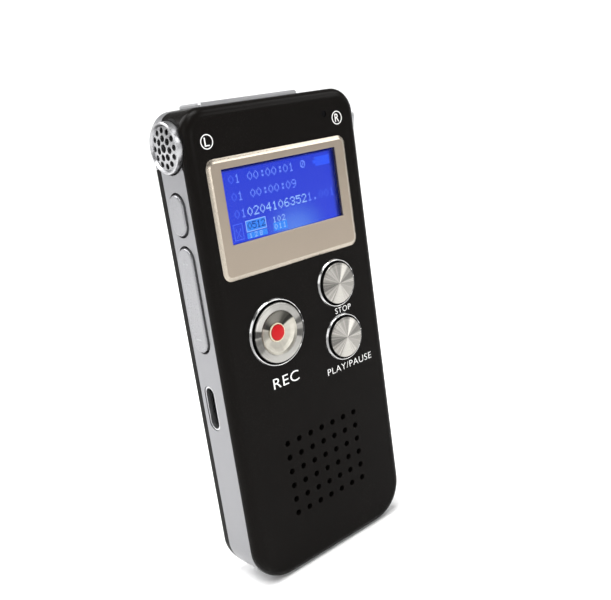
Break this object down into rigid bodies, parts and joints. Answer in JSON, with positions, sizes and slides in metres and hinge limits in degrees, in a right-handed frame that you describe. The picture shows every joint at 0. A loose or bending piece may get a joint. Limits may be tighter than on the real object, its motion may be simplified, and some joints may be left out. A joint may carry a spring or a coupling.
{
  "type": "handheld voice recorder",
  "caption": "Pocket voice recorder with a blue display, round chrome front keys, side keys, a speaker grille and a microphone pod on each side.",
  "frame": {"origin": "centre of the lower end of the overall box, on the plane that the lower end touches", "axes": "+Z along the length towards the microphone end, -Y out of the display, +X to the right of someone looking at the display"},
  "size_m": [0.0426, 0.013, 0.0937],
  "materials": {
    "black_case": "satin",
    "silver_frame": "satin",
    "silver_plate": "satin",
    "screw_steel": "satin",
    "champagne_metal": "satin",
    "clear_window": "gloss",
    "lcd_glass": "gloss",
    "backlight": "matte",
    "white_plastic": "matte",
    "chrome_ring": "polished",
    "spun_metal": "polished",
    "red_lens": "gloss",
    "silicone": "matte",
    "switch_plastic": "matte",
    "pod_metal": "satin",
    "black_rubber": "matte",
    "dust_cloth": "matte",
    "capsule_aluminium": "satin",
    "silver_key": "satin",
    "pin_steel": "polished",
    "circuit_board": "satin",
    "port_steel": "satin",
    "black_plastic": "matte",
    "jack_plastic": "satin",
    "speaker_steel": "satin",
    "speaker_paper": "matte",
    "chip_plastic": "matte",
    "battery_wrap": "satin",
    "smoked_lens": "gloss"
  },
  "bodies": {
    "case": {"battery": "battery_wrap", "display_bezel": "champagne_metal", "display_frame": "white_plastic", "display_window": "clear_window", "earphone_jack": "jack_plastic", "front_cover": "black_case", "grille_cloth": "dust_cloth", "key_switches": "switch_plastic", "keypad_mat": "silicone", "lcd_backlight": "backlight", "lcd_panel": "lcd_glass", "main_board": "circuit_board", "memory_chip": "chip_plastic", "mic_cap_left": "pod_metal", "mic_cap_right": "pod_metal", "mic_capsule_left": "capsule_aluminium", "mic_capsule_right": "capsule_aluminium", "mic_screen_left": "dust_cloth", "mic_screen_right": "dust_cloth", "mic_seal_left": "black_rubber", "mic_seal_right": "black_rubber", "microphone_jack": "jack_plastic", "play_ring": "chrome_ring", "power_switch": "switch_plastic", "processor": "chip_plastic", "rear_cover": "black_case", "rear_screws": "screw_steel", "rec_ring": "chrome_ring", "rocker_pin": "pin_steel", "side_frame": "silver_frame", "side_key_board": "circuit_board", "side_switches": "switch_plastic", "speaker_basket": "speaker_steel", "speaker_cone": "speaker_paper", "speaker_magnet": "speaker_steel", "status_lens": "smoked_lens", "stop_ring": "chrome_ring", "top_plate": "silver_plate", "usb_port": "port_steel", "usb_tongue": "black_plastic"},
    "rec_key": {"rec_button": "spun_metal", "rec_lens": "red_lens"},
    "stop_key": {"stop_button": "spun_metal"},
    "play_key": {"play_button": "spun_metal"},
    "mode_key": {"mode_button": "silver_key"},
    "rocker": {"volume_rocker": "silver_key"},
    "power_knob": {"power_slider": "silver_key"}
  },
  "joints": [
    {"name": "rec_press", "type": "slide", "parent": "case", "child": "rec_key", "axis": [0, 1, 0], "range_m": [0, 0.0004], "stiffness_N_per_m": 3000},
    {"name": "stop_press", "type": "slide", "parent": "case", "child": "stop_key", "axis": [0, 1, 0], "range_m": [0, 0.0004], "stiffness_N_per_m": 3000},
    {"name": "play_press", "type": "slide", "parent": "case", "child": "play_key", "axis": [0, 1, 0], "range_m": [0, 0.0004], "stiffness_N_per_m": 3000},
    {"name": "mode_press", "type": "slide", "parent": "case", "child": "mode_key", "axis": [1, 0, 0], "range_m": [0, 0.00035], "stiffness_N_per_m": 3000},
    {"name": "rocker_tilt", "type": "hinge", "parent": "case", "child": "rocker", "pos_m": [-0.0176, 0.0009, 0.0589], "axis": [0, 1, 0], "range_deg": [-2, 2], "stiffness_Nm_per_rad": 0.3},
    {"name": "power_slide", "type": "slide", "parent": "case", "child": "power_knob", "axis": [0, 0, 1], "range_m": [0, 0.0025]}
  ]
}
